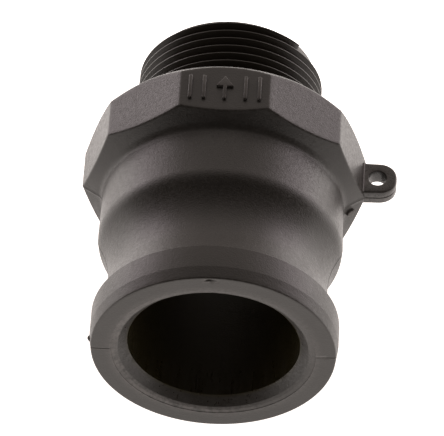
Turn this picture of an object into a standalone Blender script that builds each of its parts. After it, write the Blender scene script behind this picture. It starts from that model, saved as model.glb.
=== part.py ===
"""Cam-and-groove pipe adapter: a grooved spout with a flanged mouth on one side of a
ten-sided wrench collar, and a tapered male pipe thread on the other.

The adapter lies on one flat of its collar. Its bore runs along Y with the mouth at -Y,
the lanyard lug points to +X and the marked flat faces +Z. Units are metres.
It is divided at its own edges into closed sections, each a small gap from the next.
"""
import math

import bmesh
import bpy
from mathutils import Matrix, Vector

# ---- Driving sizes ----------------------------------------------------------------
GAP = 0.0003                    # space kept between two sections that meet
TURN_STEPS = 72                 # steps of a full turn

# Spout, from the bore outwards and from the mouth towards the collar
BORE_RADIUS = 0.01855
BORE_DRAFT = 0.00045            # loss of radius from the mouth to the collar
GROOVE_WALL = 0.00525           # wall between the bore and the hollow of the groove
GROOVE_DEPTH = 0.00295
FLANGE_WIDTH = 0.00846
FLANGE_TAPER_WIDTH = 0.0030
FLANGE_TAPER_DEPTH = 0.0004
FACE_ROUND = 0.0005             # rounding of the face's outer edge
MOUTH_CONE_DEPTH = 0.00245
MOUTH_CONE_WIDTH = 0.00195
MOUTH_ROLL_DEPTH = 0.0006
MOUTH_ROLL_WIDTH = 0.0015
GROOVE_WIDTH = 0.01950          # from the flange to the shoulder of the barrel
GROOVE_LIP = 0.0008             # step from the flange down to the groove's front slope
GROOVE_FRONT_SLOPE = math.radians(17.0)
GROOVE_RAMP_SLOPE = math.radians(27.0)
BARREL_LENGTH = 0.01171
BARREL_DRAFT = 0.00025

# Wrench collar
COLLAR_SIDES = 10
COLLAR_STEP = 0.0032            # from the barrel up to a flat
COLLAR_FLAT_WIDTH = 0.0121      # width of a flat along the bore, at its middle
COLLAR_FRONT_ANGLE = math.radians(33.0)
COLLAR_BACK_ANGLE = math.radians(46.0)
COLLAR_BACK_STEP = 0.0008
COLLAR_FILLET = 0.0024
BORE_NECK_CONE = 0.0090         # stretch over which the bore narrows inside the collar

# Threaded tail: tapered pipe thread for a one and a quarter inch pipe
TAIL_LENGTH = 0.0216
TAIL_WALL = 0.002885            # under the thread, at the tail's end
TAIL_CHAMFER = 0.0005
THREAD_PITCH = 0.002209
THREAD_CREST_RADIUS = 0.02108   # beside the collar
THREAD_DEPTH = 0.00162
THREAD_TAPER = 1.0 / 32.0       # loss of radius per length
THREAD_FLANK_ANGLE = math.radians(30.0)
THREAD_CREST_FLAT = 0.00022
THREAD_STEPS = 40
THREAD_ANGLE = math.radians(12.0)

# Lanyard lug
LUG_REACH = 0.0025              # from the collar's corner to the centre of the eye
LUG_EYE_RADIUS = 0.0040
LUG_HOLE_RADIUS = 0.0020
LUG_HOLE_INSET = 0.0003          # the hole's centre is nearer to the collar than the eye's
LUG_THICKNESS = 0.0040
LUG_BACK_MARGIN = 0.0010        # from the lug's root to the back end of the corner
LUG_ARC_STEPS = 14

# Raised marks on the top flat, and the trace of the moulding gate
MARK_HEIGHT = 0.0004
MARK_STROKE = 0.0008
MARK_END_MARGIN = 0.00295       # from a mark to the front and back of its flat
MARK_SIDE_MARGIN = 0.00215      # from the outer bars to the corners of the flat
MARK_PITCH = 0.0030
ARROW_HEAD_WIDTH = 0.0038
ARROW_HEAD_LENGTH = 0.0028
GATE_RADIUS = 0.0012
GATE_OUT = 0.00063              # from the fillet's outer edge to the middle of the stub
GATE_HEIGHT = 0.0005
GATE_STEPS = 20
GATE_ANGLE = math.radians(95.5)  # round the bore, from the top

# ---- Radii, stations along the bore from the mouth, and what else follows ----------
GROOVE_RADIUS = BORE_RADIUS + GROOVE_WALL
SPOUT_RADIUS = GROOVE_RADIUS + GROOVE_DEPTH
BARREL_END_RADIUS = SPOUT_RADIUS - BARREL_DRAFT
TAPER_START_RADIUS = SPOUT_RADIUS - FLANGE_TAPER_DEPTH
FACE_RADIUS = TAPER_START_RADIUS - FACE_ROUND
ROLL_END_RADIUS = BORE_RADIUS + MOUTH_CONE_WIDTH
MOUTH_RING_RADIUS = ROLL_END_RADIUS + MOUTH_ROLL_WIDTH
COLLAR_FLAT_RADIUS = BARREL_END_RADIUS + COLLAR_STEP
CORNER_ANGLE = math.pi / COLLAR_SIDES
COLLAR_CORNER_RADIUS = COLLAR_FLAT_RADIUS / math.cos(CORNER_ANGLE)
FLAT_HALF_SIDE = COLLAR_FLAT_RADIUS * math.tan(CORNER_ANGLE)

FLANGE_BACK = FLANGE_WIDTH
FRONT_RUN = (GROOVE_DEPTH - GROOVE_LIP) / math.tan(GROOVE_FRONT_SLOPE)
RAMP_RUN = GROOVE_DEPTH / math.tan(GROOVE_RAMP_SLOPE)
GROOVE_ARC_RADIUS = ((GROOVE_WIDTH - FRONT_RUN - RAMP_RUN)
                     / (math.tan(GROOVE_FRONT_SLOPE / 2) + math.tan(GROOVE_RAMP_SLOPE / 2)))
GROOVE_CENTRE = (FLANGE_BACK + FRONT_RUN
                 + GROOVE_ARC_RADIUS * math.tan(GROOVE_FRONT_SLOPE / 2))
GROOVE_END = FLANGE_BACK + GROOVE_WIDTH
BARREL_END = GROOVE_END + BARREL_LENGTH
FILLET_TURN = math.pi / 2 - COLLAR_FRONT_ANGLE
CONE_FOOT = BARREL_END + COLLAR_FILLET * math.tan(FILLET_TURN / 2)
FLAT_FRONT = CONE_FOOT + COLLAR_STEP * math.tan(COLLAR_FRONT_ANGLE)
FLAT_BACK = FLAT_FRONT + COLLAR_FLAT_WIDTH
FLAT_MIDDLE = (FLAT_FRONT + FLAT_BACK) / 2
CORNER_RISE = COLLAR_CORNER_RADIUS - COLLAR_FLAT_RADIUS
CORNER_FRONT = FLAT_FRONT + CORNER_RISE * math.tan(COLLAR_FRONT_ANGLE)
CORNER_BACK = FLAT_BACK - CORNER_RISE * math.tan(COLLAR_BACK_ANGLE)
COLLAR_BACK = FLAT_BACK + COLLAR_BACK_STEP
TAIL_END = COLLAR_BACK + TAIL_LENGTH
ROOT_END_RADIUS = THREAD_CREST_RADIUS - THREAD_DEPTH - THREAD_TAPER * TAIL_LENGTH
BORE_NECK_RADIUS = ROOT_END_RADIUS - TAIL_WALL
NECK_START = BARREL_END
NECK_END = NECK_START + BORE_NECK_CONE

AXIS_HEIGHT = COLLAR_FLAT_RADIUS
AXIS = Vector((0.0, 1.0, 0.0))
AXIS_POINT = Vector((0.0, 0.0, AXIS_HEIGHT))


# ---- Helpers -------------------------------------------------------------------------
def clear_scene():
    for old in list(bpy.data.objects):
        bpy.data.objects.remove(old, do_unlink=True)


def plastic(name, colour, roughness):
    """A moulded plastic for one section."""
    material = bpy.data.materials.new(name)
    material.use_nodes = True
    shader = material.node_tree.nodes["Principled BSDF"]
    shader.inputs["Base Color"].default_value = (*colour, 1.0)
    shader.inputs["Roughness"].default_value = roughness
    shader.inputs["Metallic"].default_value = 0.0
    return material


def at(station, radius, angle=0.0):
    """The world point at a station along the bore, a radius and an angle from the top."""
    return Vector((radius * math.sin(angle), station - FLAT_MIDDLE,
                   AXIS_HEIGHT + radius * math.cos(angle)))


def add_object(name, bm, material=None):
    """An object made from a bmesh, shaded smooth except at its creases."""
    mesh = bpy.data.meshes.new(name)
    bmesh.ops.recalc_face_normals(bm, faces=bm.faces)
    bm.to_mesh(mesh)
    bm.free()
    mesh.shade_smooth()
    mesh.set_sharp_from_angle(angle=math.radians(30.0))
    obj = bpy.data.objects.new(name, mesh)
    bpy.context.scene.collection.objects.link(obj)
    if material is not None:
        mesh.materials.append(material)
    return obj


def turned(profile, steps=TURN_STEPS):
    """A bmesh of a closed profile of (station, radius) points turned round the bore's axis."""
    bm = bmesh.new()
    verts = [bm.verts.new(at(station, radius)) for station, radius in profile]
    edges = [bm.edges.new((verts[i - 1], verts[i])) for i in range(len(verts))]
    bmesh.ops.spin(bm, geom=verts + edges, cent=AXIS_POINT, axis=AXIS,
                   angle=2 * math.pi, steps=steps, use_merge=True)
    bmesh.ops.remove_doubles(bm, verts=bm.verts, dist=1e-7)
    return bm


def extruded(outline, height):
    """A bmesh of a flat outline of points given a height along +Z."""
    bm = bmesh.new()
    face = bm.faces.new([bm.verts.new(point) for point in outline])
    bmesh.ops.recalc_face_normals(bm, faces=[face])
    top = bmesh.ops.extrude_face_region(bm, geom=[face])
    verts = [item for item in top["geom"] if isinstance(item, bmesh.types.BMVert)]
    bmesh.ops.translate(bm, verts=verts, vec=(0.0, 0.0, height))
    return bm


def as_cutter(obj):
    obj.hide_render = True
    obj.display_type = "WIRE"
    return obj


def boolean(obj, cutter, operation):
    modifier = obj.modifiers.new(operation.title(), "BOOLEAN")
    modifier.operation = operation
    modifier.object = cutter
    modifier.solver = "EXACT"


def bore_points(start, end):
    """The bore's (station, radius) points between two stations, from start to end."""
    shape = [(0.0, BORE_RADIUS), (NECK_START, BORE_RADIUS - BORE_DRAFT),
             (NECK_END, BORE_NECK_RADIUS), (TAIL_END, BORE_NECK_RADIUS)]

    def radius(station):
        for (s0, r0), (s1, r1) in zip(shape, shape[1:]):
            if station <= s1:
                return r0 + (r1 - r0) * (station - s0) / (s1 - s0)
        return shape[-1][1]

    inner = [point for point in shape if start < point[0] < end]
    return [(start, radius(start))] + inner + [(end, radius(end))]


def arc_points(centre, radius, first, last, steps):
    """Points on an arc in the (station, radius) plane; angle 0 points at the bore's axis."""
    points = []
    for i in range(steps + 1):
        angle = first + (last - first) * i / steps
        points.append((centre[0] + radius * math.sin(angle),
                       centre[1] - radius * math.cos(angle)))
    return points


def ring(name, outer, start, end, material):
    """A turned section: outer points from start to end, closed by the bore."""
    return add_object(name, turned(outer + bore_points(start, end)[::-1]), material)


# ---- Spout ---------------------------------------------------------------------------
def sealing_flange(material):
    """The flange round the mouth, with its flat face, rolled mouth ring and inner cone."""
    end = FLANGE_BACK - GAP / 2
    middle = (MOUTH_ROLL_DEPTH * 0.25, MOUTH_RING_RADIUS - MOUTH_ROLL_WIDTH * 0.55)
    profile = [(MOUTH_CONE_DEPTH, BORE_RADIUS), (MOUTH_ROLL_DEPTH, ROLL_END_RADIUS), middle,
               (0.0, MOUTH_RING_RADIUS), (0.0, FACE_RADIUS),
               (FACE_ROUND, TAPER_START_RADIUS), (FLANGE_TAPER_WIDTH, SPOUT_RADIUS),
               (end, SPOUT_RADIUS)]
    profile += bore_points(MOUTH_CONE_DEPTH, end)[:0:-1]
    return add_object("sealing_flange", turned(profile), material)


def groove_radius(station):
    """The cam groove: two straight slopes with a hollow between them."""
    off = station - GROOVE_CENTRE
    slope = GROOVE_FRONT_SLOPE if off < 0 else GROOVE_RAMP_SLOPE
    reach = min(abs(off), GROOVE_ARC_RADIUS * math.sin(slope))
    hollow = GROOVE_ARC_RADIUS - math.sqrt(GROOVE_ARC_RADIUS ** 2 - reach ** 2)
    return GROOVE_RADIUS + hollow + (abs(off) - reach) * math.tan(slope)


def groove_points(start, end, steps):
    stations = [start + (end - start) * i / steps for i in range(steps + 1)]
    return [(station, groove_radius(station)) for station in stations]


def groove_neck(material):
    """The front slope of the cam groove, from the flange down to the groove's bottom."""
    start = FLANGE_BACK + GAP / 2
    end = GROOVE_CENTRE - GAP / 2
    return ring("groove_neck", groove_points(start, end, 8), start, end, material)


def cam_ramp(material):
    """The slope that a cam arm rides on as it pulls the spout in."""
    start = GROOVE_CENTRE + GAP / 2
    end = GROOVE_END - GAP / 2
    return ring("cam_ramp", groove_points(start, end, 8), start, end, material)


def spout_barrel(material):
    """The plain round stretch between the groove and the collar."""
    start = GROOVE_END + GAP / 2
    end = BARREL_END - GAP / 2
    return ring("spout_barrel", [(start, SPOUT_RADIUS), (end, BARREL_END_RADIUS)],
                start, end, material)


# ---- Collar --------------------------------------------------------------------------
def collar_prism():
    """The ten-sided bar that the collar is cut from, with a flat on top and below."""
    bm = bmesh.new()
    length = COLLAR_BACK - BARREL_END + 2 * COLLAR_CORNER_RADIUS
    middle = (BARREL_END + COLLAR_BACK) / 2
    turn = Matrix.Rotation(math.pi / 2, 4, "X") @ Matrix.Rotation(CORNER_ANGLE, 4, "Z")
    bmesh.ops.create_cone(bm, cap_ends=True, segments=COLLAR_SIDES, depth=length,
                          radius1=COLLAR_CORNER_RADIUS, radius2=COLLAR_CORNER_RADIUS,
                          matrix=Matrix.Translation(at(middle, 0.0)) @ turn)
    return as_cutter(add_object("collar_bar", bm))


def wrench_collar(material):
    """The ten-sided collar, coned at both ends, with its fillet down to the barrel."""
    start = BARREL_END + GAP / 2
    outside = COLLAR_CORNER_RADIUS * 1.03
    fillet_centre = (BARREL_END, BARREL_END_RADIUS + COLLAR_FILLET)
    first = math.asin(GAP / 2 / COLLAR_FILLET)
    outer = arc_points(fillet_centre, COLLAR_FILLET, first, FILLET_TURN, 5)
    rise = outside - COLLAR_FLAT_RADIUS
    outer += [(FLAT_FRONT + rise * math.tan(COLLAR_FRONT_ANGLE), outside),
              (FLAT_BACK - rise * math.tan(COLLAR_BACK_ANGLE), outside),
              (COLLAR_BACK, COLLAR_FLAT_RADIUS - COLLAR_BACK_STEP / math.tan(COLLAR_BACK_ANGLE))]
    collar = ring("wrench_collar", outer, start, COLLAR_BACK, material)
    boolean(collar, collar_prism(), "INTERSECT")
    return collar


# ---- Threaded tail --------------------------------------------------------------------
def threaded_bar():
    """A solid bar with the tapered thread on it, longer than the tail at both ends."""
    start = COLLAR_BACK - 2 * THREAD_PITCH
    turns = math.ceil((TAIL_LENGTH + 4 * THREAD_PITCH) / THREAD_PITCH)
    half_crest = THREAD_CREST_FLAT / 2
    flank = THREAD_DEPTH * math.tan(THREAD_FLANK_ANGLE)
    root_radius = THREAD_CREST_RADIUS - THREAD_DEPTH
    tooth = [(-half_crest - flank, root_radius), (-half_crest, THREAD_CREST_RADIUS),
             (half_crest, THREAD_CREST_RADIUS), (half_crest + flank, root_radius)]
    bm = bmesh.new()
    verts = []
    for turn in range(turns):
        middle = start + turn * THREAD_PITCH
        verts += [bm.verts.new(at(middle + along, radius, THREAD_ANGLE)) for along, radius in tooth]
    verts.append(bm.verts.new(at(start + turns * THREAD_PITCH + tooth[0][0], root_radius,
                                 THREAD_ANGLE)))
    edges = [bm.edges.new(pair) for pair in zip(verts, verts[1:])]
    step = AXIS * (THREAD_PITCH / THREAD_STEPS)
    bmesh.ops.spin(bm, geom=verts + edges, cent=AXIS_POINT, axis=AXIS, dvec=step,
                   angle=2 * math.pi, steps=THREAD_STEPS, use_merge=False)
    bmesh.ops.remove_doubles(bm, verts=bm.verts, dist=1e-6)
    for vert in bm.verts:
        loss = THREAD_TAPER * (vert.co.y - at(COLLAR_BACK, 0.0).y)
        radius = math.hypot(vert.co.x, vert.co.z - AXIS_HEIGHT)
        share = (radius - loss) / radius
        vert.co.x *= share
        vert.co.z = AXIS_HEIGHT + (vert.co.z - AXIS_HEIGHT) * share
    ends = ((COLLAR_BACK - THREAD_PITCH / 2, -AXIS), (TAIL_END + THREAD_PITCH / 2, AXIS))
    for station, outward in ends:
        cut = bmesh.ops.bisect_plane(bm, geom=bm.verts[:] + bm.edges[:] + bm.faces[:],
                                     plane_co=at(station, 0.0), plane_no=outward,
                                     clear_outer=True)
        rim = [item for item in cut["geom_cut"] if isinstance(item, bmesh.types.BMEdge)]
        bmesh.ops.edgeloop_fill(bm, edges=rim)
    return as_cutter(add_object("threaded_bar", bm))


def threaded_tail(material):
    """The tapered pipe thread, chamfered down to its root at the end."""
    start = COLLAR_BACK + GAP
    over_crests = THREAD_CREST_RADIUS + THREAD_DEPTH
    chamfer = over_crests - ROOT_END_RADIUS
    outer = [(start, over_crests), (TAIL_END - chamfer, over_crests),
             (TAIL_END, ROOT_END_RADIUS)]
    inner = [(TAIL_END, BORE_NECK_RADIUS + TAIL_CHAMFER),
             (TAIL_END - TAIL_CHAMFER, BORE_NECK_RADIUS), (start, BORE_NECK_RADIUS)]
    tail = add_object("threaded_tail", turned(outer + inner), material)
    boolean(tail, threaded_bar(), "INTERSECT")
    return tail


# ---- Small features --------------------------------------------------------------------
def lanyard_lug(material):
    """The flat eye on the collar's +X corner that ties the adapter to its dust cap."""
    root = COLLAR_CORNER_RADIUS + GAP
    root_ends = (at(CORNER_BACK - LUG_BACK_MARGIN, 0.0).y, at(CORNER_FRONT, 0.0).y)
    eye = Vector((root + LUG_REACH, sum(root_ends) / 2, 0.0))
    outline = [Vector((root, y, 0.0)) for y in root_ends]
    for i in range(LUG_ARC_STEPS + 1):
        angle = math.radians(-80.0 + 160.0 * i / LUG_ARC_STEPS)
        outline.append(eye + LUG_EYE_RADIUS * Vector((math.cos(angle), math.sin(angle), 0.0)))
    bm = extruded(outline, LUG_THICKNESS)
    bmesh.ops.translate(bm, verts=bm.verts,
                        vec=(0.0, 0.0, AXIS_HEIGHT - LUG_THICKNESS / 2))
    lug = add_object("lanyard_lug", bm, material)
    hole = bmesh.new()
    place = eye + Vector((-LUG_HOLE_INSET, 0.0, AXIS_HEIGHT))
    bmesh.ops.create_cone(hole, cap_ends=True, segments=28, depth=3 * LUG_THICKNESS,
                          radius1=LUG_HOLE_RADIUS, radius2=LUG_HOLE_RADIUS,
                          matrix=Matrix.Translation(place))
    boolean(lug, as_cutter(add_object("lug_hole", hole)), "DIFFERENCE")
    return lug


def flow_arrow(material):
    """A raised arrow in the middle of the top flat, pointing along the bore to the tail."""
    half = COLLAR_FLAT_WIDTH / 2 - MARK_END_MARGIN
    neck = half - ARROW_HEAD_LENGTH
    side = MARK_STROKE / 2
    wing = ARROW_HEAD_WIDTH / 2
    base = 2 * COLLAR_FLAT_RADIUS + GAP
    right = [(side, -half), (side, neck), (wing, neck), (0.0, half)]
    left = [(-x, y) for x, y in right[-2::-1]]
    bm = extruded([Vector((x, y, base)) for x, y in right + left], MARK_HEIGHT)
    return add_object("flow_arrow", bm, material)


def mark_bars(material):
    """Four plain raised bars, two on each side of the arrow."""
    length = COLLAR_FLAT_WIDTH - 2 * MARK_END_MARGIN
    outer = FLAT_HALF_SIDE - MARK_SIDE_MARGIN
    base = 2 * COLLAR_FLAT_RADIUS + GAP
    size = Matrix.Diagonal((MARK_STROKE, length, MARK_HEIGHT, 1.0))
    offsets = (-outer, MARK_PITCH - outer, outer - MARK_PITCH, outer)
    for number, offset in enumerate(offsets, start=1):
        place = Matrix.Translation((offset, 0.0, base + MARK_HEIGHT / 2))
        bm = bmesh.new()
        bmesh.ops.create_cube(bm, size=1.0, matrix=place @ size)
        add_object(f"mark_bar_{number}", bm, material)


def gate_vestige(material):
    """The low round stub left on the collar's front cone where the plastic was fed in."""
    foot_radius = BARREL_END_RADIUS + COLLAR_FILLET * (1 - math.cos(FILLET_TURN))
    radius = foot_radius + GATE_OUT
    station = FLAT_FRONT - (COLLAR_FLAT_RADIUS - radius) * math.tan(COLLAR_FRONT_ANGLE)
    outward = at(0.0, 1.0, GATE_ANGLE) - at(0.0, 0.0)
    normal = (outward * math.sin(COLLAR_FRONT_ANGLE) - AXIS * math.cos(COLLAR_FRONT_ANGLE))
    centre = at(station, radius, GATE_ANGLE) + normal * (GAP + GATE_HEIGHT / 2)
    turn = normal.to_track_quat("Z", "Y").to_matrix().to_4x4()
    bm = bmesh.new()
    bmesh.ops.create_cone(bm, cap_ends=True, segments=GATE_STEPS, depth=GATE_HEIGHT,
                          radius1=GATE_RADIUS, radius2=GATE_RADIUS * 0.85,
                          matrix=Matrix.Translation(centre) @ turn)
    return add_object("gate_vestige", bm, material)


def build():
    clear_scene()
    sealing_flange(plastic("flange_black", (0.045, 0.041, 0.039), 0.50))
    groove_neck(plastic("groove_black", (0.042, 0.038, 0.036), 0.55))
    cam_ramp(plastic("ramp_black", (0.042, 0.038, 0.036), 0.55))
    spout_barrel(plastic("barrel_black", (0.044, 0.040, 0.039), 0.52))
    wrench_collar(plastic("collar_black", (0.044, 0.040, 0.039), 0.58))
    threaded_tail(plastic("thread_black", (0.024, 0.021, 0.018), 0.38))
    lanyard_lug(plastic("lug_black", (0.036, 0.036, 0.031), 0.35))
    flow_arrow(plastic("arrow_black", (0.040, 0.037, 0.035), 0.55))
    mark_bars(plastic("bars_black", (0.040, 0.037, 0.035), 0.55))
    gate_vestige(plastic("gate_black", (0.060, 0.058, 0.056), 0.65))


build()
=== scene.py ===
"""Looks of a moulded cam-and-groove pipe adapter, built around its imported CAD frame.

Every piece is one section of the same moulding, so neighbours meet without a gap.
Stations are distances along the bore from the mouth; angles run round the bore from the
top towards +X. All lengths are metres.
"""
import math

import bmesh
import bpy
from bpy.props import FloatProperty, FloatVectorProperty, IntProperty, PointerProperty
from mathutils import Matrix, Vector


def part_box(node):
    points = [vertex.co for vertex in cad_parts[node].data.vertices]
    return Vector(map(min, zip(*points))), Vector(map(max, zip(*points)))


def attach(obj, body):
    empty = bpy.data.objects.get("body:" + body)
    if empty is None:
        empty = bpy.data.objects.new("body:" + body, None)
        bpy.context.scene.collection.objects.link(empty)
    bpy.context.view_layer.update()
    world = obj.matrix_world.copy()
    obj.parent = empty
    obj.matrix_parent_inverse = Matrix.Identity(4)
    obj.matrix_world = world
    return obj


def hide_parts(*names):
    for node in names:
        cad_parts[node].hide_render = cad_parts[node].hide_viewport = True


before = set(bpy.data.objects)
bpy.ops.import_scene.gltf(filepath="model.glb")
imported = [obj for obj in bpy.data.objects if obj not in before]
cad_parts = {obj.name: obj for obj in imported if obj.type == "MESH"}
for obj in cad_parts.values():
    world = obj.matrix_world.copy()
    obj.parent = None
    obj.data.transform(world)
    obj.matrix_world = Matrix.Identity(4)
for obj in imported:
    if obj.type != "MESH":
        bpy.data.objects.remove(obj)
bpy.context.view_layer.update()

bl_info = {
    "name": "Cam coupling adapter",
    "version": (1, 0, 0),
    "blender": (4, 5, 0),
    "location": "3D View > Sidebar > Cam Coupling",
    "description": "Builds a moulded plastic cam-and-groove adapter and its studio",
    "category": "Add Mesh",
}


# ---- Places that the frame gives ------------------------------------------------------
def seam(front_node, back_node):
    """The station half way across the small gap between two CAD sections."""
    return (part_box(front_node)[1].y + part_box(back_node)[0].y) / 2 - MOUTH


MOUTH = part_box("sealing_flange")[0].y
AXIS_HEIGHT = (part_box("sealing_flange")[0].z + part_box("sealing_flange")[1].z) / 2
SPOUT_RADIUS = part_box("sealing_flange")[1].x
FLANGE_BACK = seam("sealing_flange", "groove_neck")
GROOVE_CENTRE = seam("groove_neck", "cam_ramp")
GROOVE_END = seam("cam_ramp", "spout_barrel")
BARREL_END = seam("spout_barrel", "wrench_collar")
COLLAR_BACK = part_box("wrench_collar")[1].y - MOUTH
COLLAR_FLAT_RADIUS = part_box("wrench_collar")[1].z - AXIS_HEIGHT
COLLAR_CORNER_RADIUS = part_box("wrench_collar")[1].x
TAIL_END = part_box("threaded_tail")[1].y - MOUTH
LUG_LOW, LUG_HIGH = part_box("lanyard_lug")
AXIS = Vector((0.0, 1.0, 0.0))
UP = Vector((0.0, 0.0, 1.0))
AXIS_POINT = Vector((0.0, 0.0, AXIS_HEIGHT))

TURN_STEPS = 180                # steps of a full turn
FLOOR_HALF = 4.0                # half the floor's side
SEAM_STRETCH = 0.0003           # straight profile kept beside a seam, so that no line shows
MERGE = 1e-7                    # points nearer than this are one point
SLIVER = 2e-6                   # cuts nearer than this to an edge are merged into it


# ---- Sizes and colours a user may change ------------------------------------------------
def length(name, description, default):
    return FloatProperty(name=name, description=description, default=default,
                         unit="LENGTH", precision=5)


def share(name, description, default):
    return FloatProperty(name=name, description=description, default=default,
                         min=0.0, max=1.0, subtype="FACTOR")


def tint(name, description, default):
    return FloatVectorProperty(name=name, description=description, default=default,
                               size=3, min=0.0, max=1.0, subtype="COLOR")


class SpoutSizes(bpy.types.PropertyGroup):
    """The grooved spout, from the mouth to the collar."""
    bore_radius: length("Bore radius", "Radius of the bore at the mouth", 0.01855)
    bore_draft: length("Bore draft", "Radius lost from the mouth to the collar", 0.00045)
    cone_depth: length("Mouth cone depth", "Depth of the cone into the bore", 0.00245)
    cone_width: length("Mouth cone width", "Width of the cone round the bore", 0.00195)
    roll_depth: length("Mouth roll depth", "How far the rolled ring dips", 0.0006)
    roll_width: length("Mouth roll width", "Width of the rolled ring", 0.0015)
    face_round: length("Face round", "Rounding of the outer edge of the face", 0.0005)
    taper_width: length("Taper width", "Length of the flange's taper", 0.0030)
    taper_depth: length("Taper depth", "Radius lost over the flange's taper", 0.0004)
    edge_round: length("Edge round", "Rounding of the flange's back edge", 0.00016)
    groove_radius: length("Groove radius", "Radius at the bottom of the groove", 0.0238)
    groove_arc: length("Groove arc", "Radius of the hollow of the groove", 0.01714)
    front_slope: FloatProperty(name="Front slope", description="Slope behind the flange",
                               subtype="ANGLE", default=math.radians(17.0))
    ramp_slope: FloatProperty(name="Ramp slope", description="Slope up to the shoulder",
                              subtype="ANGLE", default=math.radians(27.0))
    shoulder_reach: length("Shoulder reach", "How far the shoulder's rounding reaches", 0.0014)
    barrel_draft: length("Barrel draft", "Radius lost along the barrel", 0.00025)
    line_width: length("Parting line width", "Half width of the parting line", 0.00012)
    line_height: length("Parting line height", "Height of the parting line", 0.00006)
    line_depth: length("Parting line depth", "Depth of the line across the face", 0.00010)
    nib_height: length("Nib height", "Height of the bit of flash on the flange", 0.00045)
    nick_depth: length("Nick depth", "Depth of the nick in the face's edge", 0.00030)


class CollarSizes(bpy.types.PropertyGroup):
    """The ten-sided wrench collar and what stands on it."""
    sides: IntProperty(name="Sides", description="Number of flats", default=10, min=3)
    fillet: length("Fillet", "Fillet between the barrel and the collar", 0.0024)
    back_step: length("Back step", "Length of the back cone at a flat", 0.0008)
    front_angle: FloatProperty(name="Front angle", subtype="ANGLE",
                               description="Slope of the front cone",
                               default=math.radians(33.0))
    back_angle: FloatProperty(name="Back angle", subtype="ANGLE",
                              description="Slope of the back cone",
                              default=math.radians(46.0))
    edge_round: length("Edge round", "Rounding of the collar's edges", 0.00030)
    neck_cone: length("Neck cone", "Stretch over which the bore narrows", 0.0090)
    neck_radius: length("Neck radius", "Radius of the bore in the tail", 0.0159)
    lug_eye: length("Lug eye", "Outer radius of the lanyard lug's eye", 0.0040)
    lug_hole: length("Lug hole", "Radius of the hole in the lug", 0.0020)
    lug_inset: length("Lug hole inset", "The hole's centre from the eye's", 0.0003)
    lug_round: length("Lug round", "Rounding of the lug's edges", 0.00050)
    lug_line: length("Lug parting", "Depth of the parting line round the lug", 0.00016)
    mark_round: length("Mark round", "Rounding of the raised marks", 0.00018)
    gate_radius: length("Gate radius", "Radius of the moulding gate's stub", 0.0012)


class ThreadSizes(bpy.types.PropertyGroup):
    """The tapered pipe thread."""
    pitch: length("Pitch", "Distance from crest to crest", 0.002209)
    crest_radius: length("Crest radius", "Radius of the crests beside the collar", 0.02108)
    depth: length("Depth", "Height of the thread", 0.00162)
    crest_flat: length("Crest flat", "Width of the crest", 0.00022)
    taper: FloatProperty(name="Taper", description="Radius lost per length",
                         default=1.0 / 32.0)
    flank: FloatProperty(name="Flank", description="Slope of a flank", subtype="ANGLE",
                         default=math.radians(30.0))
    start_angle: FloatProperty(name="Start", description="Where the ridge starts",
                               subtype="ANGLE", default=math.radians(45.0))
    phase: FloatProperty(name="Phase", description="Where a crest leaves the collar",
                         subtype="ANGLE", default=math.radians(12.0))
    chamfer: length("Chamfer", "Chamfer at the bore's end", 0.0005)


class FinishSettings(bpy.types.PropertyGroup):
    """The black glass-filled plastic."""
    body: tint("Body", "Colour of the plastic", (0.0106, 0.0082, 0.0048))
    # bore paints shade: the same plastic takes this colour inside the bore, standing in for the
    # dim light there
    bore: tint("Bore", "Colour inside the bore", (0.018, 0.0135, 0.0030))
    bloom: tint("Bloom", "Colour where fibres lie at the surface", (0.034, 0.030, 0.027))
    # this pale colour paints worn edges and scuffs, and also the painted highlights on the
    # scuffed rings
    scuff_and_sheen: tint("Scuff", "Colour of worn edges and scuffs", (0.115, 0.106, 0.100))
    roughness: share("Roughness", "Roughness of the plastic", 0.42)


class StudioSettings(bpy.types.PropertyGroup):
    """The floor, the lights and the camera."""
    floor: tint("Floor", "Colour of the floor", (0.92, 0.92, 0.92))
    glow: FloatProperty(name="Glow", description="Light of the floor behind", default=2.6)
    front: FloatProperty(name="Front glow", description="Light of the floor in front",
                         default=1.25)
    glow_tone: tint("Glow tone", "Colour of the floor's light", (1.0, 0.94, 0.90))
    surround: FloatProperty(name="Surround", description="Light from behind", default=1.0)
    tone: tint("Surround tone", "Colour of the light from behind", (1.0, 0.89, 0.83))
    softbox: FloatProperty(name="Softbox", description="Power of a side softbox",
                           default=1.4, unit="POWER")
    softbox_tone: tint("Softbox tone", "Colour of the softboxes", (1.0, 0.86, 0.92))
    lens: FloatProperty(name="Lens", description="Focal length", default=361.67,
                        subtype="DISTANCE_CAMERA")
    elevation: FloatProperty(name="Elevation", description="Camera above the horizon",
                             subtype="ANGLE", default=math.radians(51.83))
    azimuth: FloatProperty(name="Azimuth", description="Camera round the object",
                           subtype="ANGLE", default=math.radians(2.992))
    distance: length("Distance", "Camera to the object", 0.97876)
    aim: length("Aim", "Station that the camera looks at", 0.036861)


# ---- Points and profiles ------------------------------------------------------------------
def at(station, radius, angle=0.0):
    """The point at a station along the bore, a radius and an angle from the top."""
    return Vector((radius * math.sin(angle), station + MOUTH,
                   AXIS_HEIGHT + radius * math.cos(angle)))


def cylindrical(point):
    """A point's station, radius and angle."""
    up = point.z - AXIS_HEIGHT
    return point.y - MOUTH, math.hypot(point.x, up), math.atan2(point.x, up)


def line(first, last, steps):
    """Points in even steps between two (station, radius) points, both ends kept."""
    return [tuple(a + (b - a) * i / steps for a, b in zip(first, last))
            for i in range(steps + 1)]


def arc(centre, radius, first, last, steps):
    """Points on an arc in the (station, radius) plane; angle 0 points at the bore's axis."""
    angles = (first + (last - first) * i / steps for i in range(steps + 1))
    return [(centre[0] + radius * math.sin(a), centre[1] - radius * math.cos(a))
            for a in angles]


def bend(first, corner, last, steps):
    """Points on a smooth bend from first to last, which heads for the corner both ways."""
    for k in range(steps + 1):
        t = k / steps
        yield tuple(first * (1 - t) ** 2 + corner * 2 * t * (1 - t) + last * t * t)


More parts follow.
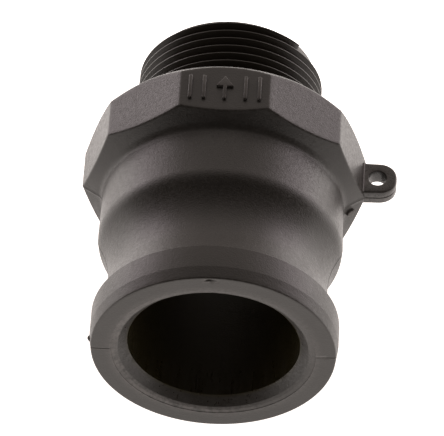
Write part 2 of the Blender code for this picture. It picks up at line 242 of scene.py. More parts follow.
def rounded(corners, steps=5):
    """A profile of (station, radius, rounding) corners with each one rounded."""
    points = []
    for i, (station, radius, rounding) in enumerate(corners):
        corner = Vector((station, radius))
        if not rounding or i in (0, len(corners) - 1):
            points.append((station, radius))
            continue
        before = Vector(corners[i - 1][:2]) - corner
        after = Vector(corners[i + 1][:2]) - corner
        half = before.angle(after) / 2
        reach = min(rounding / math.tan(half), 0.49 * before.length, 0.49 * after.length)
        points += bend(corner + before.normalized() * reach, corner,
                       corner + after.normalized() * reach, steps)
    return points


def bore_line(start, end):
    """The bore's (station, radius) points from end back to start."""
    spout, collar = bpy.context.scene.cam_spout, bpy.context.scene.cam_collar
    shape = [(0.0, spout.bore_radius), (BARREL_END, spout.bore_radius - spout.bore_draft),
             (BARREL_END + collar.neck_cone, collar.neck_radius),
             (TAIL_END, collar.neck_radius)]

    def radius(station):
        for (s0, r0), (s1, r1) in zip(shape, shape[1:]):
            if station <= s1:
                return r0 + (r1 - r0) * (station - s0) / (s1 - s0)
        return shape[-1][1]

    inner = [point for point in shape if start < point[0] < end]
    return ([(start, radius(start))] + inner + [(end, radius(end))])[::-1]


# ---- Meshes -----------------------------------------------------------------------------
def turned(profile, steps=TURN_STEPS):
    """A bmesh of a closed profile of (station, radius) points turned round the bore."""
    bm = bmesh.new()
    row = bm.verts.layers.int.new("row")
    verts = [bm.verts.new(at(station, radius)) for station, radius in profile]
    for i, vert in enumerate(verts):
        vert[row] = i
    edges = [bm.edges.new((verts[i - 1], verts[i])) for i in range(len(verts))]
    bmesh.ops.spin(bm, geom=verts + edges, cent=AXIS_POINT, axis=AXIS,
                   angle=2 * math.pi, steps=steps, use_merge=True)
    bmesh.ops.remove_doubles(bm, verts=bm.verts, dist=MERGE)
    bmesh.ops.recalc_face_normals(bm, faces=bm.faces)
    return bm


def crease_edges(bm, least, test=lambda vert: True):
    """Edges whose faces turn by more than an angle, where both ends pass a test."""
    return [edge for edge in bm.edges
            if edge.is_manifold and edge.calc_face_angle(0.0) > least
            and all(test(vert) for vert in edge.verts)]


def soften(bm, edges, width, segments=3):
    """Rounds edges."""
    bmesh.ops.bevel(bm, geom=edges, offset=width, offset_type="OFFSET", segments=segments,
                    profile=0.5, affect="EDGES", material=-1, clamp_overlap=True)


def parting_line(bm, seams):
    """The fine line that the two halves of the mould leave: raised along both sides, and
    sunk across the face and its rounded edge. At a seam with a neighbour it only moves
    outwards, and it never stands out past the collar's corners."""
    spout = bpy.context.scene.cam_spout
    inner_limit = spout.bore_radius + spout.cone_width + spout.roll_width + MERGE
    for offset in (-spout.line_width, 0.0, spout.line_width):
        bmesh.ops.bisect_plane(bm, geom=bm.verts[:] + bm.edges[:] + bm.faces[:],
                               plane_co=AXIS_POINT + UP * offset, plane_no=UP)
    bmesh.ops.remove_doubles(bm, verts=bm.verts, dist=SLIVER)
    bm.normal_update()
    for vert in bm.verts:
        station, radius, _ = cylindrical(vert.co)
        if abs(vert.co.z - AXIS_HEIGHT) > MERGE or radius < inner_limit:
            continue
        if any(abs(station - other) < MERGE for other in seams):
            vert.co.x += math.copysign(spout.line_height, vert.co.x)
        elif station < spout.face_round:
            vert.co -= vert.normal * spout.line_depth
        else:
            vert.co += vert.normal * spout.line_height
            vert.co.x = max(-COLLAR_CORNER_RADIUS, min(COLLAR_CORNER_RADIUS, vert.co.x))


def finish_piece(name, bm, material, node, seams=(), crease=math.radians(35.0)):
    """A finished piece: the share of edge wear at each point, smooth shading, its ride."""
    bm.normal_update()
    wear = bm.verts.layers.float.new("edge_wear")
    for vert in bm.verts:
        station = vert.co.y - MOUTH
        if any(abs(station - other) < MERGE for other in seams):
            continue
        turns = [edge.calc_face_angle_signed(0.0) for edge in vert.link_edges
                 if edge.is_manifold]
        vert[wear] = min(1.0, max([0.0] + turns) / math.radians(30.0))
    row = bm.verts.layers.int.get("row")
    if row is not None:
        bm.verts.layers.int.remove(row)
    mesh = bpy.data.meshes.new(name)
    bm.to_mesh(mesh)
    bm.free()
    mesh.shade_smooth()
    mesh.set_sharp_from_angle(angle=crease)
    mesh.materials.append(material)
    piece = bpy.data.objects.new(name, mesh)
    bpy.context.scene.collection.objects.link(piece)
    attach(piece, "root")
    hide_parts(node)
    return piece


def boolean_of(bm, cutter_bm, operation):
    """A new bmesh of one closed bmesh combined with another."""
    objects = []
    for part in (bm, cutter_bm):
        mesh = bpy.data.meshes.new("blank")
        part.to_mesh(mesh)
        part.free()
        obj = bpy.data.objects.new("blank", mesh)
        bpy.context.scene.collection.objects.link(obj)
        objects.append(obj)
    modifier = objects[0].modifiers.new("Cut", "BOOLEAN")
    modifier.operation = operation
    modifier.object = objects[1]
    modifier.solver = "EXACT"
    bpy.context.view_layer.update()
    evaluated = objects[0].evaluated_get(bpy.context.evaluated_depsgraph_get())
    made = bmesh.new()
    made.from_mesh(evaluated.to_mesh())
    evaluated.to_mesh_clear()
    for obj in objects:
        bpy.data.meshes.remove(obj.data)
    bmesh.ops.remove_doubles(made, verts=made.verts, dist=MERGE)
    bmesh.ops.recalc_face_normals(made, faces=made.faces)
    return made


# ---- Materials ----------------------------------------------------------------------------
class Wire:
    """A socket of a node tree that can be added, multiplied and so on."""

    def __init__(self, nodes, socket):
        self.nodes, self.socket = nodes, socket

    def math(self, operation, *values):
        return self.nodes.wire("ShaderNodeMath", {"operation": operation},
                               dict(enumerate((self, *values))), "Value")

    def __add__(self, other):
        return self.math("ADD", other)

    def __mul__(self, other):
        return self.math("MULTIPLY", other)

    def __sub__(self, other):
        return self.math("SUBTRACT", other)

    def __rsub__(self, other):
        return self * -1.0 + other

    __radd__, __rmul__ = __add__, __mul__

    def size(self):
        return self.math("ABSOLUTE")

    def root(self):
        return self.math("SQRT")

    def over(self, low, high):
        """0 below low, 1 above high, and smooth in between; high may be the smaller."""
        return self.nodes.wire("ShaderNodeMapRange", {"interpolation_type": "SMOOTHSTEP"},
                               {"Value": self, "From Min": low, "From Max": high}, "Result")


class Nodes:
    """The node tree of a material or of the world."""

    def __init__(self, owner):
        owner.use_nodes = True
        self.owner, self.tree = owner, owner.node_tree

    def node(self, kind, settings=None, sockets=None):
        """A node of a type, with its settings and then the values or links of its sockets."""
        made = self.tree.nodes.new(kind)
        for name, value in (settings or {}).items():
            setattr(made, name, value)
        for name, value in (sockets or {}).items():
            self.put(value, made.inputs[name])
        return made

    def wire(self, kind, settings, sockets, output):
        return Wire(self, self.node(kind, settings, sockets).outputs[output])

    def put(self, value, socket):
        """Gives a socket a link or a plain value."""
        value = value.socket if isinstance(value, Wire) else value
        if isinstance(value, bpy.types.NodeSocket):
            self.tree.links.new(value, socket)
        else:
            socket.default_value = value

    def colour_mix(self, factor, first, second):
        """A colour between two colours."""
        node = self.node("ShaderNodeMix", {"data_type": "RGBA", "clamp_factor": True})
        self.put(factor, node.inputs[0])
        self.put(first, node.inputs[6])
        self.put(second, node.inputs[7])
        return node.outputs[2]

    def parts(self, vector):
        """The three wires of a vector."""
        split = self.node("ShaderNodeSeparateXYZ", {}, {"Vector": vector})
        return [Wire(self, split.outputs[axis]) for axis in "XYZ"]


class Finish(Nodes):
    """One material, with the coordinates that its patterns follow."""

    def __init__(self, name):
        super().__init__(bpy.data.materials.new(name))
        self.shader = self.tree.nodes["Principled BSDF"]
        self.point = self.node("ShaderNodeTexCoord").outputs["Object"]

    def noise(self, grain, detail=2.0, stretch=(1.0, 1.0, 1.0), shift=0.0, roughness=0.5):
        """Noise whose blotches are about grain metres across."""
        moved = self.node("ShaderNodeMapping", {},
                          {"Vector": self.point, "Location": (shift, shift, shift),
                           "Scale": stretch})
        return self.wire("ShaderNodeTexNoise", {},
                         {"Vector": moved.outputs["Vector"], "Scale": 1.0 / grain,
                          "Detail": detail, "Roughness": roughness}, "Fac")


def opaque(colour):
    return (*colour, 1.0)


def moulded_plastic(name, tone=1.0, roughness=0.0, mottle=1.0, wear=1.0, bump=1.0,
                    specks=1.0, worn_and_lit_rings=(), streaks=0.0, ior=1.49):
    """Black glass-filled plastic: blotchy bloom, fine grain, pale specks, worn edges, and a
    darker bore, which is painted shade: the same plastic given its own colour inside the bore.
    The rings are (station, radius, half width, share) bands of scuffing with a painted
    highlight, stronger at the lower left; streaks run along the bore inside the mouth."""
    scene = bpy.context.scene
    settings, bore = scene.cam_finish, scene.cam_spout.bore_radius
    finish = Finish(name)
    flow = finish.noise(0.0060, 3.0, (1.0, 0.35, 1.0))
    blotch = finish.noise(0.0009, 3.0, shift=0.7)
    grain = finish.noise(0.00034, 2.0, shift=1.9)
    patches = finish.noise(0.0022, 2.0, shift=3.1)
    across, along, high = finish.parts(finish.point)
    station, up = along - MOUTH, high - AXIS_HEIGHT
    radius = (across * across + up * up).root()
    tail_face = station.over(TAIL_END - 0.0010, TAIL_END - 0.0004)
    # outside is 0 in the bore, where the painted bore shade replaces the colour and no bloom or
    # scuffs show
    outside = radius.over(bore + 0.0001, bore + 0.0006).math("MAXIMUM", tail_face)
    bloom = (blotch.over(0.35, 0.75) * 0.4 + flow.over(0.35, 0.70) * 0.3
             + grain.over(0.40, 0.70) * 0.3) * mottle * outside
    speck = grain.over(0.71, 0.78) * patches.over(0.45, 0.65) * (0.5 * specks)
    edge = finish.wire("ShaderNodeAttribute", {"attribute_name": "edge_wear"}, {}, "Fac")
    # real wear on convex edges, then scuffed rings with painted highlights, then specks, all in
    # the pale scuff colour
    scuff_and_sheen = edge.over(0.15, 1.0) * (0.35 + blotch.over(0.35, 0.65) * 0.65) * wear
    # Each ring below is scuffing with a painted highlight on it; side makes the highlight
    # stronger at the lower left.
    for ring_station, ring_radius, half_width, amount in worn_and_lit_rings:
        off, out = station - ring_station, radius - ring_radius
        worn_and_lit_band = (off * off + out * out).root().over(half_width, half_width * 0.55)
        side = (across * -1.0 - up * 0.45).over(-0.5 * ring_radius, 0.9 * ring_radius)
        scuff_and_sheen = scuff_and_sheen + worn_and_lit_band * (side * 0.8 + 0.2) * (blotch.over(0.30, 0.60) * 0.6
                                                     + patches.over(0.35, 0.6) * 0.4) * amount
    scuff_and_sheen = (scuff_and_sheen + speck) * outside
    body = [c * tone for c in settings.body]
    colour = finish.colour_mix(bloom * 0.55, opaque(body), opaque(settings.bloom))
    colour = finish.colour_mix(scuff_and_sheen * 0.7, colour, opaque(settings.scuff_and_sheen))
    # inside the bore, the painted shade colour
    colour = finish.colour_mix(outside, opaque(settings.bore), colour)
    rough = (settings.roughness + roughness + (blotch - 0.5) * (0.20 * mottle)
             + (grain - 0.5) * 0.35 + scuff_and_sheen * 0.12)
    height = grain * 0.9 + blotch * 0.5 + flow * 1.0 - speck * 0.4
    if streaks:
        drawn = finish.noise(0.00050, 1.0, (1.0, 0.04, 1.0), shift=4.3)
        mouth = radius.over(bore + 0.0028, bore + 0.0020) * streaks
        height = height + drawn * mouth * 0.2
        rough = rough + (drawn - 0.5) * mouth * 0.6
    bumped = finish.node("ShaderNodeBump", {},
                         {"Strength": 0.5 * bump, "Distance": 0.00010, "Height": height})
    shader = finish.shader
    shader.inputs["IOR"].default_value = ior
    finish.put(colour, shader.inputs["Base Color"])
    finish.put(rough.math("MAXIMUM", 0.12), shader.inputs["Roughness"])
    finish.put(bumped.outputs["Normal"], shader.inputs["Normal"])
    return finish.owner


# ---- Spout ----------------------------------------------------------------------------------
def groove_radius(station, spout):
    """The cam groove: two straight slopes with a hollow between them."""
    off = station - GROOVE_CENTRE
    slope = spout.front_slope if off < 0 else spout.ramp_slope
    off = max(abs(off), SEAM_STRETCH)
    reach = min(off, spout.groove_arc * math.sin(slope))
    hollow = spout.groove_arc - math.sqrt(spout.groove_arc ** 2 - reach ** 2)
    return spout.groove_radius + hollow + (off - reach) * math.tan(slope)


def barrel_radius(station, spout):
    return SPOUT_RADIUS - spout.barrel_draft * (station - GROOVE_END) / (BARREL_END - GROOVE_END)


class CAM_OT_flange(bpy.types.Operator):
    """Build the flange round the mouth, with its flat face, rolled ring and inner cone"""
    bl_idname = "cam_coupling.flange"
    bl_label = "Sealing Flange"

    def execute(self, context):
        spout = context.scene.cam_spout
        inner_start = spout.cone_depth + 0.0012         # a short stretch of bore
        cone_top = spout.bore_radius + spout.cone_width
        ring = cone_top + spout.roll_width
        taper_start = SPOUT_RADIUS - spout.taper_depth
        ledge = 0.00010
        nick_radius = taper_start - 0.00085
        nick_half, nick_width = 0.0012, 0.00022
        outer = rounded([
            (inner_start, spout.bore_radius, 0.0),
            (spout.cone_depth, spout.bore_radius, 0.00025),
            (spout.roll_depth, cone_top, 0.00030),
            (spout.roll_depth * 0.40, ring - spout.roll_width * 0.55, 0.0009),
            (ledge, ring - ledge / 2, 0.0),
            (0.0, ring, 0.0),
            (0.0, (ring + taper_start) / 2, 0.0),
            *((0.0, nick_radius + step, 0.0) for step in (-0.00030, -0.00012, 0.0, 0.00012)),
            (0.0, taper_start, spout.face_round),
            *((spout.taper_width * k, taper_start + spout.taper_depth * k, 0.0)
              for k in (0.4, 0.55, 0.7, 0.85)),
            (spout.taper_width, SPOUT_RADIUS, 0.0001),
            (spout.taper_width * 1.15, SPOUT_RADIUS, 0.0),
            (FLANGE_BACK, SPOUT_RADIUS, spout.edge_round),
            (FLANGE_BACK, spout.groove_radius, 0.0),
        ], steps=6)
        bm = turned(outer + bore_line(inner_start, FLANGE_BACK)[:-1])
        parting_line(bm, ())
        nib_middle, nib_half = spout.taper_width * 0.85, spout.taper_width * 0.3
        nick = at(0.0, nick_radius, math.radians(-1.5))
        for vert in bm.verts:
            station, radius, _ = cylindrical(vert.co)
            if abs(vert.co.z - AXIS_HEIGHT) < MERGE and vert.co.x < -taper_start:
                share_left = 1.0 - ((station - nib_middle) / nib_half) ** 2
                vert.co.x -= spout.nib_height * max(0.0, share_left)
            off = vert.co - nick
            if abs(off.x) < nick_half and abs(off.z) < nick_width and station < MERGE:
                vert.co.y += spout.nick_depth * (1.0 - (off.x / nick_half) ** 2)
        # scuffs on the rolled ring, with a painted highlight stronger at the lower left
        mouth_ring = (spout.roll_depth * 0.35, ring - spout.roll_width * 0.45,
                      spout.roll_width * 0.70, 1.3)
        material = moulded_plastic("flange_black", tone=1.1, wear=0.5, worn_and_lit_rings=(mouth_ring,),
                                   streaks=1.0)
        finish_piece("flange", bm, material, "sealing_flange",
                     seams=(FLANGE_BACK,))
        return {"FINISHED"}


class CAM_OT_groove(bpy.types.Operator):
    """Build the cam groove: its hollow behind the flange and the ramp up to the shoulder"""
    bl_idname = "cam_coupling.groove"
    bl_label = "Cam Groove"

    def execute(self, context):
        spout = context.scene.cam_spout

        def surface(start, end, steps):
            return [(s, groove_radius(s, spout)) for s, _ in line((start, 0), (end, 0), steps)]

        bottom = [(GROOVE_CENTRE, groove_radius(GROOVE_CENTRE, spout))]
        outer = surface(FLANGE_BACK, GROOVE_CENTRE - SEAM_STRETCH, 40) + bottom
        bm = turned(outer + bore_line(FLANGE_BACK, GROOVE_CENTRE))
        parting_line(bm, (FLANGE_BACK, GROOVE_CENTRE))
        # scuffing with a painted highlight along the bottom of the hollow, stronger at the lower
        # left
        worn_and_lit_band = (FLANGE_BACK + 0.0045, spout.groove_radius + 0.0012, 0.0060, 0.25)
        hollow = moulded_plastic("groove_black", specks=1.8, mottle=1.2, wear=0.0,
                                 worn_and_lit_rings=(worn_and_lit_band,))
        finish_piece("groove_hollow", bm, hollow, "groove_neck")

        barrel_start = GROOVE_END + spout.shoulder_reach
        bend_start = GROOVE_END - spout.shoulder_reach
        outer = bottom + surface(GROOVE_CENTRE + SEAM_STRETCH, bend_start, 32)
        outer += bend(Vector(outer.pop()), Vector((GROOVE_END, SPOUT_RADIUS)),
                      Vector((barrel_start, barrel_radius(barrel_start, spout))), 10)
        bm = turned(outer + bore_line(GROOVE_CENTRE, barrel_start))
        parting_line(bm, (GROOVE_CENTRE, barrel_start))
        ramp = moulded_plastic("ramp_black", mottle=1.1, wear=0.0)
        finish_piece("groove_ramp", bm, ramp, "cam_ramp",
                     seams=(GROOVE_CENTRE, barrel_start))
        return {"FINISHED"}


class CAM_OT_barrel(bpy.types.Operator):
    """Build the plain round stretch between the groove and the collar"""
    bl_idname = "cam_coupling.barrel"
    bl_label = "Spout Barrel"

    def execute(self, context):
        spout = context.scene.cam_spout
        start, end = GROOVE_END + spout.shoulder_reach, BARREL_END - SEAM_STRETCH
        outer = line((start, barrel_radius(start, spout)), (end, barrel_radius(end, spout)), 8)
        bm = turned(outer + bore_line(start, end))
        parting_line(bm, (start, end))
        material = moulded_plastic("barrel_black", mottle=1.2, wear=0.0)
        finish_piece("barrel", bm, material, "spout_barrel")
        return {"FINISHED"}


# ---- Collar ---------------------------------------------------------------------------------
class CAM_OT_collar(bpy.types.Operator):
    """Build the ten-sided collar, coned at both ends, with its fillet down to the barrel"""
    bl_idname = "cam_coupling.collar"
    bl_label = "Wrench Collar"

    def execute(self, context):
        spout, collar = context.scene.cam_spout, context.scene.cam_collar
        start = BARREL_END - SEAM_STRETCH
        barrel_end = barrel_radius(BARREL_END, spout)
        fillet_turn = math.pi / 2 - collar.front_angle
        fillet = arc((BARREL_END, barrel_end + collar.fillet), collar.fillet,
                     0.0, fillet_turn, 12)
        foot = fillet[-1]
        flat_front = foot[0] + (COLLAR_FLAT_RADIUS - foot[1]) * math.tan(collar.front_angle)
        flat_back = COLLAR_BACK - collar.back_step
        back_radius = COLLAR_FLAT_RADIUS - collar.back_step / math.tan(collar.back_angle)
        face_inner = 0.0170             # the back face runs in under the thread
        shape = [(start, barrel_radius(start, spout))] + fillet
        stretches = {}
        for kind, steps in (("front", 6), ("flat", 12), ("back", 3)):
            for i in range(1, steps + 1):
                stretches[len(shape)] = (kind, i / steps)
                spread = 0.0004 * len(shape)    # any place will do: it is set below
                shape.append((foot[0] + spread, COLLAR_FLAT_RADIUS))
        shape += line((COLLAR_BACK, back_radius), (COLLAR_BACK, face_inner), 4)[1:]
        shape += bore_line(start, COLLAR_BACK)
        bm = turned(shape)
        row = bm.verts.layers.int["row"]
        corner_turn = 2 * math.pi / collar.sides
        for vert in bm.verts:
            kind, along = stretches.get(vert[row], (None, 0.0))
            if kind is None:
                continue
            _, _, angle = cylindrical(vert.co)
            off_middle = (angle + corner_turn / 2) % corner_turn - corner_turn / 2
            flat_radius = COLLAR_FLAT_RADIUS / math.cos(off_middle)
            rise = flat_radius - COLLAR_FLAT_RADIUS
            front = (flat_front + rise * math.tan(collar.front_angle), flat_radius)
            back = (flat_back - rise * math.tan(collar.back_angle), flat_radius)
            ends = {"front": (foot, front), "flat": (front, back),
                    "back": (back, (COLLAR_BACK, back_radius))}[kind]
            vert.co = at(*(a + (b - a) * along for a, b in zip(*ends)), angle)
        bmesh.ops.recalc_face_normals(bm, faces=bm.faces)
        clear = foot[1] + 0.0005        # the fillet keeps its own edges
        edges = crease_edges(bm, math.radians(14.0), lambda v: cylindrical(v.co)[1] > clear)
        soften(bm, edges, collar.edge_round, 4)
        parting_line(bm, (start,))
        material = moulded_plastic("collar_black", mottle=1.3, wear=0.5)
        finish_piece("collar", bm, material, "wrench_collar", seams=(start,))
        return {"FINISHED"}


# ---- Thread ---------------------------------------------------------------------------------
def thread_blank(thread, start, end, steps=90):
    """A solid bar with the tapered thread on it, longer than the tail at both ends."""
    crest, root = thread.crest_radius, thread.crest_radius - thread.depth
    half = thread.crest_flat / 2
    flank = thread.depth * math.tan(thread.flank)
    middle = thread.pitch / 2
    tooth = rounded([(-middle, root, 0.0), (-half - flank, root, 0.00012),
                     (-half, crest, 0.00010), (half, crest, 0.00010),
                     (half + flank, root, 0.00012), (middle, root, 0.0)], steps=3)
    turns = math.ceil((end - start) / thread.pitch) + 4
    first = start - 2 * thread.pitch
    bm = bmesh.new()
    verts = []
    for turn in range(turns):
        for i, (along, radius) in enumerate(tooth[1:] if turn else tooth):
            verts.append(bm.verts.new(at(first + turn * thread.pitch + along, radius,
                                         thread.phase)))
    edges = [bm.edges.new(pair) for pair in zip(verts, verts[1:])]
    bmesh.ops.spin(bm, geom=verts + edges, cent=AXIS_POINT, axis=AXIS,
                   dvec=AXIS * (thread.pitch / steps), angle=2 * math.pi, steps=steps,
                   use_merge=False)
    bmesh.ops.remove_doubles(bm, verts=bm.verts, dist=1e-6)
    turn_share = thread.start_angle / (2 * math.pi)
    crest_at_top = start - thread.pitch * thread.phase / (2 * math.pi)
    last_crest = end - thread.pitch * 0.6
    whole = math.floor((last_crest - crest_at_top) / thread.pitch - turn_share)
    ridge_end = crest_at_top + thread.pitch * (whole + turn_share)
    for vert in bm.verts:
        station, radius, angle = cylindrical(vert.co)
        drift = crest_at_top + thread.pitch * angle / (2 * math.pi)
        crest_station = drift + thread.pitch * round((station - drift) / thread.pitch)
        if crest_station > ridge_end + thread.pitch / steps:
            radius = root
        vert.co = at(station, radius - thread.taper * (station - COLLAR_BACK), angle)
    for station, outward in ((start - thread.pitch / 2, -AXIS), (end + thread.pitch / 2, AXIS)):
        cut = bmesh.ops.bisect_plane(bm, geom=bm.verts[:] + bm.edges[:] + bm.faces[:],
                                     plane_co=at(station, 0.0), plane_no=outward,
                                     clear_outer=True)
        rim = [item for item in cut["geom_cut"] if isinstance(item, bmesh.types.BMEdge)]
        bmesh.ops.edgeloop_fill(bm, edges=rim)
    bmesh.ops.recalc_face_normals(bm, faces=bm.faces)
    return bm


class CAM_OT_thread(bpy.types.Operator):
    """Build the tapered pipe thread, chamfered down to its root at the end"""
    bl_idname = "cam_coupling.thread"
    bl_label = "Threaded Tail"

    def execute(self, context):
        thread, collar = context.scene.cam_thread, context.scene.cam_collar
        start = COLLAR_BACK - SEAM_STRETCH
        over = thread.crest_radius + thread.depth
        root_end = (thread.crest_radius - thread.depth
                    - thread.taper * (TAIL_END - COLLAR_BACK))
        chamfer = over - root_end
        neck = collar.neck_radius
        bar = turned([(start, over), (TAIL_END - chamfer, over), (TAIL_END, root_end),
                      (TAIL_END, neck + thread.chamfer), (TAIL_END - thread.chamfer, neck),
                      (start, neck)])
        bm = boolean_of(bar, thread_blank(thread, COLLAR_BACK, TAIL_END), "INTERSECT")
        # tone 1.6 is painted light: the thread is a lighter copy of the same plastic, lifted
        # where it renders dark, with less reflection (ior 1.39)
        material = moulded_plastic("thread_black", tone=1.6, roughness=-0.06, mottle=0.5,
                                   wear=0.2, bump=0.5, specks=0.3, ior=1.39)
        finish_piece("thread", bm, material, "threaded_tail", seams=(start,))
        return {"FINISHED"}


# ---- Small features ----------------------------------------------------------------------------
class CAM_OT_lug(bpy.types.Operator):
    """Build the eye on the collar's side that ties the adapter to its dust cap"""
    bl_idname = "cam_coupling.lug"
    bl_label = "Lanyard Lug"

    def execute(self, context):
        collar = context.scene.cam_collar
        thickness = LUG_HIGH.z - LUG_LOW.z
        eye = Vector((LUG_HIGH.x - collar.lug_eye, (LUG_LOW.y + LUG_HIGH.y) / 2, LUG_LOW.z))
        root = COLLAR_CORNER_RADIUS - 0.0014            # sunk into the collar
        half_root = (LUG_HIGH.y - LUG_LOW.y) / 2
        half = collar.lug_eye * 1.03
        waist, root_turn = 0.69, 0.72   # where the side ends and the root begins
        side_power, end_power = 0.88, 0.95              # under 1 squares the eye a little
        hole_place = eye - Vector((collar.lug_inset, 0.0, 0.0))
        hole_zone = collar.lug_hole * 1.2

        def from_hole(vert):
            return (Vector((vert.co.x, vert.co.y, eye.z)) - hole_place).length

        def at_an_end(vert):
            return min(abs(vert.co.z - LUG_LOW.z), abs(vert.co.z - LUG_HIGH.z)) < MERGE

        bm = bmesh.new()
        bmesh.ops.create_circle(bm, segments=48, radius=collar.lug_hole,
                                matrix=Matrix.Translation(hole_place))
        rim = bmesh.ops.create_circle(bm, segments=48, radius=collar.lug_eye,
                                      matrix=Matrix.Translation(eye))["verts"]
        for vert in rim:
            out = (vert.co - eye) / collar.lug_eye
            side = math.copysign(abs(out.y) ** side_power, out.y)
            if out.x >= 0.0:
                vert.co = eye + Vector((collar.lug_eye * out.x ** end_power, half * side, 0.0))
            elif abs(out.y) > waist:
                back = min(1.0, -out.x / root_turn)
                reach = half + (half_root - half) * back * back
                vert.co = eye + Vector(((root - eye.x) * back, math.copysign(reach, out.y), 0))
            else:
                vert.co = Vector((root, eye.y + half_root * out.y / waist, eye.z))
        bmesh.ops.bridge_loops(bm, edges=bm.edges[:])
        bmesh.ops.recalc_face_normals(bm, faces=bm.faces)
        raised = bmesh.ops.extrude_face_region(bm, geom=bm.faces[:])["geom"]
        verts = [item for item in raised if isinstance(item, bmesh.types.BMVert)]
        bmesh.ops.translate(bm, verts=verts, vec=UP * thickness)
        for rise in (0.46, 0.50, 0.54):
            bmesh.ops.bisect_plane(bm, geom=bm.verts[:] + bm.edges[:] + bm.faces[:],
                                   plane_co=eye + UP * thickness * rise, plane_no=UP)
        bmesh.ops.recalc_face_normals(bm, faces=bm.faces)
        bm.normal_update()
        for vert in bm.verts:
            off_middle = abs(vert.co.z - eye.z - thickness / 2)
            if off_middle < MERGE and from_hole(vert) > hole_zone:
                vert.co -= vert.normal * collar.lug_line

        def outer(vert):
            return at_an_end(vert) and from_hole(vert) > hole_zone and vert.co.x > root + MERGE

        def inner(vert):
            return at_an_end(vert) and from_hole(vert) < hole_zone

        soften(bm, crease_edges(bm, math.radians(60.0), inner), collar.lug_round * 0.35)
        soften(bm, crease_edges(bm, math.radians(60.0), outer), collar.lug_round, 4)
        bead, bead_short = 0.00030, 0.0006      # a bead of plastic in the lug's corner
        slope = math.tan(math.pi / collar.sides)
        bead_x = COLLAR_CORNER_RADIUS - thickness / 2 * slope
        lie = Matrix.Rotation(math.pi / 2, 4, "X")
        bmesh.ops.create_cone(bm, cap_ends=True, segments=16, radius1=bead, radius2=bead,
                              depth=2 * half_root - bead_short,
                              matrix=Matrix.Translation((bead_x, eye.y, LUG_HIGH.z)) @ lie)
        material = moulded_plastic("lug_black", tone=1.0, roughness=-0.14, mottle=0.7,
                                   bump=0.5, specks=0.5)
        finish_piece("lug", bm, material, "lanyard_lug")
        return {"FINISHED"}


def raised_mark(name, node, outline, base, top, material):
    """A raised mark from a flat outline, with its upper edges rounded."""
    bm = bmesh.new()
    face = bm.faces.new([bm.verts.new(Vector((x, y, base))) for x, y in outline])
    bmesh.ops.recalc_face_normals(bm, faces=[face])
    raised = bmesh.ops.extrude_face_region(bm, geom=[face])
    verts = [item for item in raised["geom"] if isinstance(item, bmesh.types.BMVert)]
    bmesh.ops.translate(bm, verts=verts, vec=UP * (top - base))
    bmesh.ops.recalc_face_normals(bm, faces=bm.faces)
    edges = crease_edges(bm, math.radians(30.0), lambda v: v.co.z > top - MERGE)
    edges += [e for e in bm.edges if abs(e.verts[0].co.z - e.verts[1].co.z) > (top - base) / 2]
    soften(bm, list(set(edges)), bpy.context.scene.cam_collar.mark_round, 3)
    finish_piece(name, bm, material, node)


class CAM_OT_marks(bpy.types.Operator):
    """Build the raised flow arrow and plain bars on the top flat"""
    bl_idname = "cam_coupling.marks"
    bl_label = "Raised Marks"

    def execute(self, context):
        material = moulded_plastic("mark_black", mottle=1.0, wear=1.0)
        sunk, head = 0.0003, 0.0028     # depth in the flat, and length of the arrow's head
        base = AXIS_HEIGHT + COLLAR_FLAT_RADIUS - sunk
        low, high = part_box("flow_arrow")
        side = (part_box("mark_bar_1")[1].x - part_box("mark_bar_1")[0].x) / 2
        neck = high.y - head
        right = [(side, low.y), (side, neck), (high.x, neck), (0.0, high.y)]
        left = [(-x, y) for x, y in right[-2::-1]]
        raised_mark("flow_arrow_mark", "flow_arrow", right + left, base, high.z, material)
        for number in range(1, 5):
            low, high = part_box(f"mark_bar_{number}")
            outline = [(low.x, low.y), (high.x, low.y), (high.x, high.y), (low.x, high.y)]
            raised_mark(f"bar_mark_{number}", f"mark_bar_{number}", outline, base, high.z,
                        material)
        return {"FINISHED"}


class CAM_OT_gate(bpy.types.Operator):
    """Build the stub left on the front cone where the plastic was fed in"""
    bl_idname = "cam_coupling.gate"
    bl_label = "Gate Vestige"

    def execute(self, context):
        collar = context.scene.cam_collar
        low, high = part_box("gate_vestige")
        centre = (low + high) / 2
        station, radius, angle = cylindrical(centre)
        outward = at(0.0, 1.0, angle) - at(0.0, 0.0)
        normal = outward * math.sin(collar.front_angle) - AXIS * math.cos(collar.front_angle)
        turn = normal.to_track_quat("Z", "Y").to_matrix().to_4x4()
        above = 0.00055             # the CAD stub's middle over the cone
        sunk, proud = 0.0006, 0.00060
        place = centre + normal * ((proud - sunk) / 2 - above)
        bm = bmesh.new()
        bmesh.ops.create_cone(bm, cap_ends=True, segments=40, depth=sunk + proud,
                              radius1=collar.gate_radius, radius2=collar.gate_radius * 0.8,
                              matrix=Matrix.Translation(place) @ turn)
        soften(bm, crease_edges(bm, math.radians(40.0)), 0.00018, 3)
        # the stub's pale snapped chip, with a painted highlight stronger at the lower left
        chip = (station, radius, 0.0011, 5.0)
        material = moulded_plastic("gate_black", tone=1.6, roughness=0.1, wear=2.0,
                                   worn_and_lit_rings=(chip,))
        finish_piece("gate_stub", bm, material, "gate_vestige")
        return {"FINISHED"}


# ---- Studio -----------------------------------------------------------------------------------
def softbox(name, direction, distance, size, studio, target):
    """A square area light that faces the object from a direction."""
    light = bpy.data.lights.new(name, "AREA")
    light.shape = "RECTANGLE"
    light.size, light.size_y = size
    light.energy, light.color = studio.softbox, studio.softbox_tone
    obj = bpy.data.objects.new(name, light)
    bpy.context.scene.collection.objects.link(obj)
    away = Vector(direction).normalized()
    obj.location = target + away * distance
    obj.rotation_euler = away.to_track_quat("Z", "Y").to_euler()
    return obj


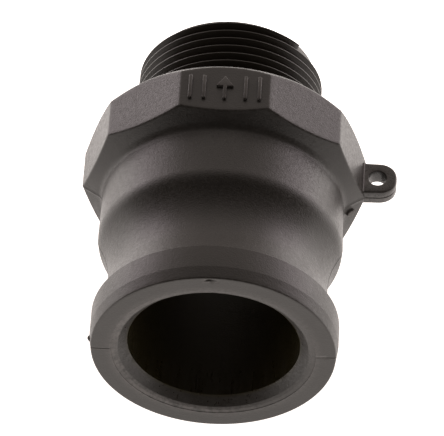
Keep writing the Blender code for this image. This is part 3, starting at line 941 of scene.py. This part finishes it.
class CAM_OT_studio(bpy.types.Operator):
    """Build the floor, the softboxes, the pale surroundings and the camera"""
    bl_idname = "cam_coupling.studio"
    bl_label = "Studio"

    def execute(self, context):
        scene, studio = context.scene, context.scene.cam_studio
        bm = bmesh.new()
        bmesh.ops.create_grid(bm, x_segments=1, y_segments=1, size=FLOOR_HALF)
        mesh = bpy.data.meshes.new("floor")
        bm.to_mesh(mesh)
        bm.free()
        floor = bpy.data.objects.new("floor", mesh)
        scene.collection.objects.link(floor)
        finish = Finish("floor_white")
        shader = finish.shader
        shader.inputs["Base Color"].default_value = opaque(studio.floor)
        shader.inputs["Roughness"].default_value = 0.9
        shader.inputs["Specular IOR Level"].default_value = 0.1
        _, along, _ = finish.parts(finish.point)
        dim = [c * studio.front / studio.glow for c in studio.glow_tone]
        finish.put(finish.colour_mix(along.over(-0.02, 0.12), opaque(dim),
                                     opaque(studio.glow_tone)),
                   shader.inputs["Emission Color"])
        shader.inputs["Emission Strength"].default_value = studio.glow
        mesh.materials.append(finish.owner)

        surround = Nodes(bpy.data.worlds.new("surround"))
        direction = surround.node("ShaderNodeTexCoord").outputs["Generated"]
        _, away, _ = surround.parts(direction)
        strength = (0.13 + away.over(0.0, 0.70) * 0.87) * studio.surround
        seen = surround.node("ShaderNodeLightPath").outputs["Is Camera Ray"]
        background = surround.tree.nodes["Background"]
        surround.put(surround.colour_mix(seen, opaque(studio.tone), (1.0, 1.0, 1.0, 1.0)),
                     background.inputs["Color"])
        seen = Wire(surround, seen)
        surround.put(seen * 1.0 + (1.0 - seen) * strength, background.inputs["Strength"])
        scene.world = surround.owner

        target = at(studio.aim, 0.0)
        for side in (-1.0, 1.0):
            softbox("softbox", (side * 0.78, 0.60, 0.16), 0.75, (0.45, 0.45), studio, target)

        camera = bpy.data.cameras.new("camera")
        camera.lens = studio.lens
        camera.sensor_width = 36.0
        camera.clip_start, camera.clip_end = 0.05, 20.0
        obj = bpy.data.objects.new("camera", camera)
        scene.collection.objects.link(obj)
        level = math.cos(studio.elevation)
        back = Vector((math.sin(studio.azimuth) * level, -math.cos(studio.azimuth) * level,
                       math.sin(studio.elevation)))
        obj.location = target + back * studio.distance
        obj.rotation_euler = back.to_track_quat("Z", "Y").to_euler()
        scene.camera = obj
        scene.view_settings.view_transform = "Standard"
        return {"FINISHED"}


class CAM_PT_panel(bpy.types.Panel):
    """The pieces and the studio in the sidebar"""
    bl_idname = "CAM_PT_panel"
    bl_label = "Cam Coupling"
    bl_space_type = "VIEW_3D"
    bl_region_type = "UI"
    bl_category = "Cam Coupling"

    def draw(self, context):
        for operator in OPERATORS:
            self.layout.operator(operator.bl_idname)
        for name in GROUPS:
            group = getattr(context.scene, name)
            box = self.layout.box()
            for key in group.bl_rna.properties.keys():
                if key not in ("rna_type", "name"):
                    box.prop(group, key)


OPERATORS = (CAM_OT_flange, CAM_OT_groove, CAM_OT_barrel, CAM_OT_collar, CAM_OT_thread,
             CAM_OT_lug, CAM_OT_marks, CAM_OT_gate, CAM_OT_studio)
GROUPS = {"cam_spout": SpoutSizes, "cam_collar": CollarSizes, "cam_thread": ThreadSizes,
          "cam_finish": FinishSettings, "cam_studio": StudioSettings}


def register():
    for cls in (*GROUPS.values(), *OPERATORS, CAM_PT_panel):
        bpy.utils.register_class(cls)
    for name, cls in GROUPS.items():
        setattr(bpy.types.Scene, name, PointerProperty(type=cls))


def unregister():
    for name in GROUPS:
        delattr(bpy.types.Scene, name)
    for cls in (CAM_PT_panel, *reversed(OPERATORS), *reversed(GROUPS.values())):
        bpy.utils.unregister_class(cls)


def main():
    register()
    for operator in OPERATORS:
        group, name = operator.bl_idname.split(".")
        getattr(getattr(bpy.ops, group), name)()


if __name__ == "__main__":
    main()
